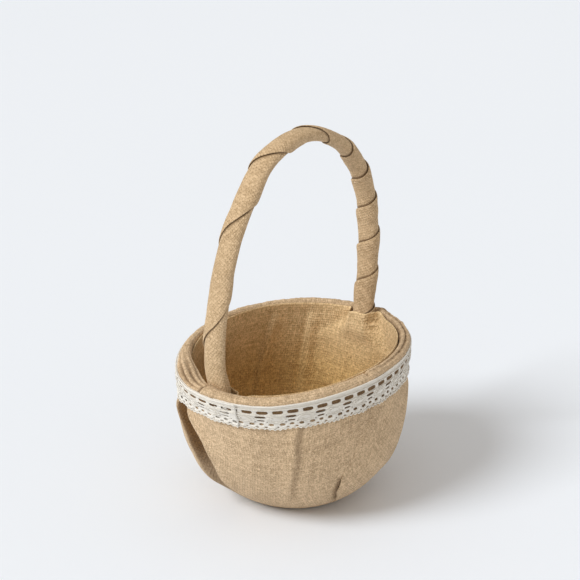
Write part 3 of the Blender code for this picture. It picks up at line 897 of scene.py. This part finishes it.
def lace_edge(x):
    """The lower edge's depth: shallow scallops with small picots."""
    scallop = 0.35 * math.cos(TAU * (x - LEAF_X) / LACE_REPEAT)
    picot = max(math.cos(TAU * x * 6.0 / LACE_REPEAT), -0.35)
    return LACE_WIDTH - 0.75 + scallop + 0.55 * picot


def hole_outline(x, y, width, height):
    """A rounded slot, or a rounder hole where it is small."""
    power = 0.62 if width > 3.5 else 0.85
    count = 16 if width > 2.0 else 10
    outline = []
    for i in range(count):
        cosine, sine = math.cos(TAU * i / count), math.sin(TAU * i / count)
        outline.append((x + width / 2.0 * math.copysign(abs(cosine) ** power, cosine),
                        y + height / 2.0 * math.copysign(abs(sine) ** power, sine)))
    return outline


def within(outline, x, y):
    odd = False
    for (ax, ay), (bx, by) in zip(outline, outline[1:] + outline[:1]):
        if (ay > y) != (by > y) and x < (bx - ax) * (y - ay) / (by - ay) + ax:
            odd = not odd
    return odd


def lace_repeat():
    """Flat points and triangles of one repeat, cut round its openings."""
    steps = 48
    top = [(LACE_REPEAT * i / 16, 0.0) for i in range(17)]
    right = [(LACE_REPEAT, y) for y in LACE_SIDE_ROWS[1:]]
    bottom = [(LACE_REPEAT * i / steps, lace_edge(LACE_REPEAT * i / steps)) for i in range(steps, -1, -1)]
    left = [(0.0, y) for y in LACE_SIDE_ROWS[:0:-1]]
    holes = [hole_outline(*hole) for hole in LACE_HOLES]
    points, edges = [], []
    for outline in [top + right + bottom + left] + holes:
        first, count = len(points), len(outline)
        points.extend(Vector(p) for p in outline)
        edges.extend((first + i, first + (i + 1) % count) for i in range(count))
    y = 0.75
    row = 0
    while y < LACE_WIDTH - 1.6:
        x = 0.6 + 0.55 * (row % 2)
        while x < LACE_REPEAT - 0.4:
            if not any(abs(x - hx) < width / 2.0 + 0.35 and abs(y - hy) < height / 2.0 + 0.35
                       for hx, hy, width, height in LACE_HOLES):
                points.append(Vector((x, y)))
            x += 1.1
        y += 0.95
        row += 1
    made = geometry.delaunay_2d_cdt(points, edges, [], 0, 1e-5)
    flat, triangles = made[0], made[2]

    def solid(face):
        x = sum(flat[i].x for i in face) / len(face)
        y = sum(flat[i].y for i in face) / len(face)
        inside = 0 <= x <= LACE_REPEAT and 0 <= y <= lace_edge(x)
        return inside and not any(within(outline, x, y) for outline in holes)

    return [(p.x, p.y) for p in flat], [tuple(f) for f in triangles if solid(f)]


class LaceTrack:
    """Places flat lace points, in mm, round the bowl."""

    def __init__(self):
        self.angles = [LACE_START + TAU * i / LACE_STATIONS for i in range(LACE_STATIONS + 1)]
        self.arcs = [0.0]
        level = (LACE_TOP - LACE_WIDTH / 2.0) * MM
        for first, second in zip(self.angles, self.angles[1:]):
            step = (wall_point(level, -0.0015, second) - wall_point(level, -0.0015, first)).length
            self.arcs.append(self.arcs[-1] + step / MM)
        self.round = self.arcs[-1]

    def angle(self, x):
        turns, rest = divmod(x, self.round)
        low, share = bracket(self.arcs, rest)
        return self.angles[low] + (self.angles[low + 1] - self.angles[low]) * share + turns * TAU

    def point(self, x, y, lift=0.0):
        angle = self.angle(x)
        a = turned(angle)
        height = LACE_TOP - y
        out = 1.75 - 1.05 * ramp(height, 94.0, 88.5)
        out += 0.55 * ramp(y, 13.0, 18.0) * (0.4 + wander(x * 0.23, y * 0.1, 3.0))
        out += 0.18 * wander(x * 0.6, y * 0.6, 5.0)
        # it rides over the lip and the crest of the cover's open fold
        out += 0.5 * near(a, 163, 7) * ramp(y, 10.0, 18.0)
        out += 1.3 * near(a, 151, 10) * ramp(y, 6.0, 12.5)
        # its end lies on its start
        out += 0.95 * ramp(x - self.round, -9.0, 1.0)
        height += 0.35 * round_noise(a, 4.0, 1.0)
        radius = wall_radius(height * MM) + (out + lift) * MM
        return place(radius, height * MM + left_rise(angle), angle)


def cord_routes():
    """(list of (x, y, lift), radius) of each cord: along the lace, round each leaf and along the scallops."""
    cords = []
    for depth, swing, period, lift, radius, shift in LACE_CORDS:
        count = int(LACE_LENGTH / 0.8)
        route = []
        for i in range(count + 1):
            x = LACE_LENGTH * i / count
            turn = TAU * (x / period + shift)
            route.append((x, depth + swing * math.sin(turn), lift + 0.12 * math.cos(2.0 * turn)))
        cords.append((route, radius))
    for repeat in range(LACE_REPEATS):
        start = LACE_REPEAT * repeat
        for half_x, half_y in ((6.0, 2.9), (3.6, 1.7)):
            turns = [TAU * i / 24 for i in range(25)]
            route = [(start + LEAF_X + half_x * math.cos(turn), 10.7 + half_y * math.sin(turn), 0.55)
                     for turn in turns]
            if all(0.4 < x < LACE_LENGTH - 0.4 for x, _, _ in route):
                cords.append((route, 0.24))
        edge = [start + LACE_REPEAT * i / 72 for i in range(73)]
        cords.append(([(min(x, LACE_LENGTH), lace_edge(x - start) - 0.15, 0.42) for x in edge], 0.32))
    return cords


def add_tube(track, route, radius, points, faces, corners):
    """Adds a closed tube along one cord's route to lists that a mesh is made from."""
    first = len(points)
    centres = [track.point(x, y, lift) for x, y, lift in route]
    for i, centre in enumerate(centres):
        tangent = (centres[min(i + 1, len(centres) - 1)] - centres[max(i - 1, 0)]).normalized()
        outward = Vector((centre.x, centre.y, 0.0)).normalized()
        side = tangent.cross(outward).normalized()
        outward = side.cross(tangent)
        for s in range(CORD_SIDES):
            turn = TAU * s / CORD_SIDES
            points.append(centre + (side * math.cos(turn) + outward * math.sin(turn)) * radius * MM)
    for i, s, t in grid_cells(len(route), CORD_SIDES, True):
        a, b = first + i * CORD_SIDES, first + (i + 1) * CORD_SIDES
        faces.append((a + s, a + t, b + t, b + s))
        (x, y, _), (nx, ny, _) = route[i:i + 2]
        low, high = s * radius * MM, (s + 1) * radius * MM
        corners.append(((x * MM, y * MM + low), (x * MM, y * MM + high),
                        (nx * MM, ny * MM + high), (nx * MM, ny * MM + low)))
    last = first + (len(route) - 1) * CORD_SIDES
    faces.append(tuple(first + s for s in range(CORD_SIDES))[::-1])
    faces.append(tuple(last + s for s in range(CORD_SIDES)))
    corners.extend([[(0.0, 0.0)] * CORD_SIDES] * 2)


def join_twins(piece):
    """Welds the points that neighbouring repeats share."""
    work = bmesh.new()
    work.from_mesh(piece.data)
    bmesh.ops.remove_doubles(work, verts=work.verts, dist=0.00003)
    work.to_mesh(piece.data)
    work.free()


def make_lace(finish):
    """The pierced band, repeat by repeat, and the cords that stand on it."""
    track = LaceTrack()
    flat, triangles = lace_repeat()
    points, faces, corners = [], [], []
    for repeat in range(LACE_REPEATS):
        first = len(points)
        start = LACE_REPEAT * repeat
        for x, y in flat:
            from_leaf = x - LEAF_X if x < 11 else x - LEAF_X - LACE_REPEAT
            leaf = bump_at(from_leaf, 6.8) * bump_at(y - 10.6, 3.6)
            points.append(track.point(start + x, y, 0.35 * leaf - 0.12 * bump_at(y - 14.6, 2.0)))
        for face in triangles:
            faces.append(tuple(first + i for i in face))
            corners.append([((start + flat[i][0]) * MM, flat[i][1] * MM) for i in face])
    shell = cloth_object("lace_band", points, faces, corners, finish)
    join_twins(shell)
    thicken(shell, 0.00062, 1.0)
    points, faces, corners = [], [], []
    for route, radius in cord_routes():
        add_tube(track, route, radius, points, faces, corners)
    cord = cloth_object("lace_cords", points, faces, corners, finish)
    finish_piece(shell, "cotton_lace", "lace_trim")
    finish_piece(cord, "cotton_lace")
    return shell


# ---------------------------------------------------------------- the handle

HALF_WIDTH, HALF_THICKNESS, WRAP_POWER = 7.6 * MM, 4.3 * MM, 2.2
PERIMETER = 37.5 * MM
# Where the seams cross the face that is seen from the front left: (x, z) mm in the handle's plane
SEAM_PLACES = ((-78, 150), (-57, 213), (-24, 242), (24, 245), (52, 229), (70, 208), (79, 183), (80, 156),
               (81, 129))
SEEN_FROM = Vector((-0.72, -0.57, 0.40))
# The strip's section: distance from its folded edge along the handle, and height of its face, mm
STRIP_EDGE = ((4.5, 0.12), (2.2, 0.14), (0.9, 0.15), (0.2, 0.2), (-0.15, 0.36), (-0.10, 0.60), (0.25, 0.80),
              (0.9, 0.92), (2.0, 1.0), (3.6, 1.02), (5.6, 0.98), (7.8, 0.88), (10.0, 0.7), (12.5, 0.5),
              (15.0, 0.35))
UNDERSIDE_ROWS = 5  # the section's first rows are the edge's turned-under side
STRIP_OVERLAP = 8.5
STRIP_ROWS = 26
STATIONS_PER_TURN = 84
ROUTE_STEPS = 24
LEAST_AREA = 1e-10


def handle_route():
    """A fine smooth curve up the left leg, over the arch and down the right leg, with its arc lengths."""
    left = [wall_point(h, inset, math.pi) for h, inset in LEG_ROUTE][::-1]
    right = [wall_point(h, inset, 0.0) for h, inset in LEG_ROUTE]
    points = left + [Vector(p) for p in ARCH_POINTS] + right
    ends = [points[0] * 2.0 - points[1]] + points + [points[-1] * 2.0 - points[-2]]
    fine = []
    for a, b, c, d in zip(ends, ends[1:], ends[2:], ends[3:]):
        for i in range(ROUTE_STEPS):
            t = i / ROUTE_STEPS
            square = (a * 2.0 - b * 5.0 + c * 4.0 - d) * t * t
            fine.append((b * 2.0 + (c - a) * t + square + (b * 3.0 - a - c * 3.0 + d) * t**3) / 2.0)
    fine.append(points[-1])
    lengths = [0.0]
    for first, second in zip(fine, fine[1:]):
        lengths.append(lengths[-1] + (second - first).length)
    return fine, lengths


class Handle:
    """Frames along the handle, and the winding's seams on it."""

    def __init__(self):
        self.points, self.lengths = handle_route()
        self.total = self.lengths[-1]
        # the lowest place of the wrap on each leg
        low = BOWL_HEIGHT - RIM_DIP - 0.009
        above = [length for point, length in zip(self.points, self.lengths) if point.z > low]
        self.first, self.last = min(above), max(above)
        seams = []
        for number, (x, z) in enumerate(SEAM_PLACES):
            target = Vector((x * MM, 0.0, z * MM))
            index = min(range(len(self.points)), key=lambda k: (self.points[k] - target).length)
            where = self.lengths[index]
            _, across, outward = self.frame(where)
            seen = math.atan2(SEEN_FROM.dot(outward), SEEN_FROM.dot(across)) % TAU
            if number == 0:
                self.start_turn = seen
            seams.append((number + (seen - self.start_turn) / TAU, where))
        step = (seams[1][1] - seams[0][1]) / (seams[1][0] - seams[0][0])
        end = (seams[-1][1] - seams[-2][1]) / (seams[-1][0] - seams[-2][0])
        before = [(seams[0][0] - k, seams[0][1] - step * 0.95 * k) for k in (2.0, 1.0)]
        after = [(seams[-1][0] + k, seams[-1][1] + end * k) for k in (1.0, 2.0, 3.0, 4.0)]
        self.seams = before + seams + after

    def frame(self, where):
        """Position, the direction across the handle and the direction out of the arch."""
        low, share = bracket(self.lengths, min(max(where, 0.0), self.total))
        here = self.points[low].lerp(self.points[low + 1], share)
        ahead = self.points[min(low + 4, len(self.points) - 1)]
        tangent = (ahead - self.points[max(low - 3, 0)]).normalized()
        across = (Vector((0.0, 1.0, 0.0)) - tangent * tangent.y).normalized()
        return here, across, tangent.cross(across)

    def seam(self, phase):
        """Arc length where the winding's edge is after so many turns: a smooth curve through the seams."""
        places = self.seams
        if phase <= places[0][0]:
            return places[0][1]
        for k, (b, c) in enumerate(zip(places, places[1:])):
            if phase <= c[0]:
                a, d = places[max(k - 1, 0)], places[min(k + 2, len(places) - 1)]
                span = c[0] - b[0]
                t = (phase - b[0]) / span
                slope_b = (c[1] - a[1]) / (c[0] - a[0])
                slope_c = (d[1] - b[1]) / (d[0] - b[0])
                return ((2 * t**3 - 3 * t * t + 1) * b[1] + (t**3 - 2 * t * t + t) * slope_b * span
                        + (3 * t * t - 2 * t**3) * c[1] + (t**3 - t * t) * slope_c * span)
        return places[-1][1]

    def surface(self, where, turn, height):
        """A point on the wound cloth: turn is the angle round the section, height its face in metres."""
        here, across, outward = self.frame(min(max(where, self.first), self.last))
        cosine, sine = math.cos(turn), math.sin(turn)
        width = HALF_WIDTH * math.copysign(abs(cosine) ** (2.0 / WRAP_POWER), cosine)
        thick = HALF_THICKNESS * math.copysign(abs(sine) ** (2.0 / WRAP_POWER), sine)
        normal = (across * (cosine / HALF_WIDTH) + outward * (sine / HALF_THICKNESS)).normalized()
        # the strip leans back and outwards where it meets the left side of the rim
        lean = ramp(here.z, 0.128, 0.106) if here.x < 0.0 else 0.0
        here = here + Vector((-1.2 * MM, 1.9 * MM, 0.0)) * lean
        return here + across * width + outward * thick + normal * height


def strip_section(phase, width):
    """(distance along the handle in metres, height in mm, painted shade) across the strip, on to the next
    turn.
    """
    # a seam stands off here and there
    loose = 0.5 + 0.5 * wander(phase * 1.9, 3.0, 1.0)
    section = []
    for number, (d, h) in enumerate(STRIP_EDGE):
        lift = 0.45 * loose * max(1.0 - abs(d - 0.3) / 6.0, 0.0) if h > 0.3 else 0.0
        # painted shade on the edge's turned-under side
        section.append((d * MM, h + lift, 0.8 if number < UNDERSIDE_ROWS else 0.0))
    covered = STRIP_EDGE[-1][0] * MM
    for k in range(1, STRIP_ROWS + 1):
        d = covered + (width + STRIP_OVERLAP * MM - covered) * (k / STRIP_ROWS)
        close = ramp(d, covered + 4 * MM, covered)
        tuck = ramp(d, width - 4 * MM, width + 3 * MM)
        # painted shadow on the cloth just below the next turn's edge
        shade = 0.85 * ramp(d, width - 2.6 * MM, width - 0.3 * MM)
        section.append((d, 0.08 + 0.22 * close - 0.12 * tuck, shade))
    return section


def make_handle(finish):
    """One strip wound in a spiral, each turn's folded edge lying on the turn before."""
    handle = Handle()
    first_phase, last_phase = handle.seams[0][0] + 0.001, handle.seams[-1][0] - 1.0
    stations = int((last_phase - first_phase) * STATIONS_PER_TURN)
    points, flat, shades = [], [], []
    spiral = 0.0
    previous = None
    for s in range(stations + 1):
        phase = first_phase + (last_phase - first_phase) * s / stations
        turn = handle.start_turn + TAU * phase
        start = handle.seam(phase)
        here = (PERIMETER * phase, start)
        slope = math.atan2(handle.seam(phase + 0.02) - start, PERIMETER * 0.02)
        spiral += math.dist(here, previous or here)
        previous = here
        flat_row = []
        for d, h, shade in strip_section(phase, handle.seam(phase + 1.0) - start):
            u, v = spiral + d * math.sin(slope), d * math.cos(slope)
            rib = wander(v * 260.0, u * 60.0, 2.0) * 0.22
            drag = wander(v * 90.0 + u * 35.0, u * 18.0, 6.0) * 0.35
            strength = ramp(h, -0.1, 0.5) * 0.6 + 0.4
            points.append(handle.surface(start + d, turn, (h + (rib + drag) * strength) * MM))
            shades.append(shade)
            flat_row.append((u, v))
        flat.append(flat_row)
    columns = len(flat[0])
    faces, corners = [], []
    for r, c, d in grid_cells(len(flat), columns):
        quad = grid_quad(r, c, d, columns)
        a, b, far, e = (points[i] for i in quad)
        # past its last place on a leg the strip's points fall together, and there are no faces
        if (b - a).cross(e - a).length < LEAST_AREA and (b - far).cross(e - far).length < LEAST_AREA:
            continue
        faces.append(quad)
        corners.append((flat[r][c], flat[r][d], flat[r + 1][d], flat[r + 1][c]))
    piece = cloth_object("handle_strip", points, faces, corners, finish)
    paint_shade_marks(piece, shades)
    finish_piece(piece, "burlap", "handle_wrap")
    return piece


# ---------------------------------------------------------------- stage, light and camera

FLOOR_HALF, FLOOR_DEPTH = 9.0, -0.0002
CAMERA_AZIMUTH, CAMERA_ELEVATION = math.radians(-51.42), math.radians(24.58)
CAMERA_DISTANCE = 1.402
CAMERA_PIVOT = Vector((0.0, 0.0, 0.1186))
CAMERA_AIM = Vector((0.0052, 0.0085, 0.1392))
CAMERA_LENS = 132.1
LIT_MIDDLE = Vector((0.0, 0.0, 0.08))


def make_stage():
    g = Graph("pale_studio_paper")
    grain = g.noise(g.place, 700.0, 2.0)
    colour = g.mix(g.noise(g.place, 1.3, 2.0), (0.84, 0.885, 0.95), (0.87, 0.905, 0.965))
    g.surface(colour, g.spread(grain, 0.2, 0.8, 0.55, 0.7), Specular_IOR_Level=0.2)
    g.bump(grain, 0.00005, 0.3)
    mesh = bpy.data.meshes.new("floor_sheet")
    signs = ((-1, -1), (1, -1), (1, 1), (-1, 1))
    mesh.from_pydata([(x * FLOOR_HALF, y * FLOOR_HALF, FLOOR_DEPTH) for x, y in signs], [], [(0, 1, 2, 3)])
    mesh.materials.append(g.material)
    link_object("floor_sheet", mesh)


def stand_at(name, data, location, backwards):
    """Places a lamp or a camera whose back points along a direction."""
    made = link_object(name, data)
    made.location = location
    made.rotation_mode = "QUATERNION"
    made.rotation_quaternion = backwards.to_track_quat("Z", "Y")
    return made


def add_lamp(name, kind, location, backwards, power, colour, **settings):
    light = bpy.data.lights.new(name, kind)
    light.energy = power
    light.color = colour
    for key, value in settings.items():
        setattr(light, key, value)
    stand_at(name, light, location, backwards)


def make_light_and_camera():
    level = math.cos(CAMERA_ELEVATION)
    back = Vector((math.sin(CAMERA_AZIMUTH) * level, -math.cos(CAMERA_AZIMUTH) * level,
                   math.sin(CAMERA_ELEVATION)))
    stand = CAMERA_PIVOT + back * CAMERA_DISTANCE
    camera_data = bpy.data.cameras.new("photo_camera")
    camera_data.lens = CAMERA_LENS
    camera_data.clip_start, camera_data.clip_end = 0.05, 60.0
    bpy.context.scene.camera = stand_at("photo_camera", camera_data, stand, stand - CAMERA_AIM)

    right = Vector((math.cos(CAMERA_AZIMUTH), math.sin(CAMERA_AZIMUTH), 0.0))
    towards = Vector((back.x, back.y, 0.0)).normalized()
    up = Vector((0.0, 0.0, 1.0))
    key = -right * 0.64 + towards * 0.36 + up * 0.68
    add_lamp("window_key", "SUN", key, key, 2.2, (0.96, 0.985, 1.0), angle=math.radians(26.0))
    fill = right * 0.5 + towards * 1.6 + up * 1.2
    add_lamp("soft_fill", "AREA", fill, fill - LIT_MIDDLE, 1.3, (1.0, 0.95, 0.88), shape="DISK", size=1.6)
    world = bpy.data.worlds.new("pale_room")
    world.use_nodes = True
    background = world.node_tree.nodes["Background"]
    background.inputs["Color"].default_value = (1.0, 0.95, 0.885, 1.0)
    background.inputs["Strength"].default_value = 0.55
    bpy.context.scene.world = world
    bpy.context.scene.view_settings.view_transform = "Standard"


# ---------------------------------------------------------------- everything


def dress_frame_nodes(board, cane, steel):
    """Gives the CAD's nodes that no piece stands for their materials."""
    finishes = {"bowl_form": board, "base_board": board, "handle_core": cane, "rim_wire": steel}
    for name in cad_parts:
        finish = finishes.get(name, steel if name.startswith("staple") else None)
        if finish is None:
            continue
        for slot in bpy.data.objects[name].material_slots:
            slot.material = finish


make_light_and_camera()
make_stage()
outside = burlap("natural_burlap", (0.79, 0.585, 0.375), (0.40, 0.275, 0.16), (0.24, 0.155, 0.085))
handle_cloth = burlap("handle_burlap", (0.73, 0.53, 0.325), (0.42, 0.285, 0.155), (0.28, 0.18, 0.095),
                      pitch=HANDLE_PITCH)
inside = burlap("lining_burlap_cloth", (0.95, 0.705, 0.41), (0.46, 0.31, 0.15), (0.26, 0.16, 0.07),
                bottom_shade_tint=(0.80, 0.71, 0.50))
lace = lace_thread()
make_cover(outside)
make_binding(outside)
make_lining(inside)
make_lining_floor(inside)
make_handle(handle_cloth)
make_lace(lace)
dress_frame_nodes(pulp_board(), split_cane(), steel_wire())
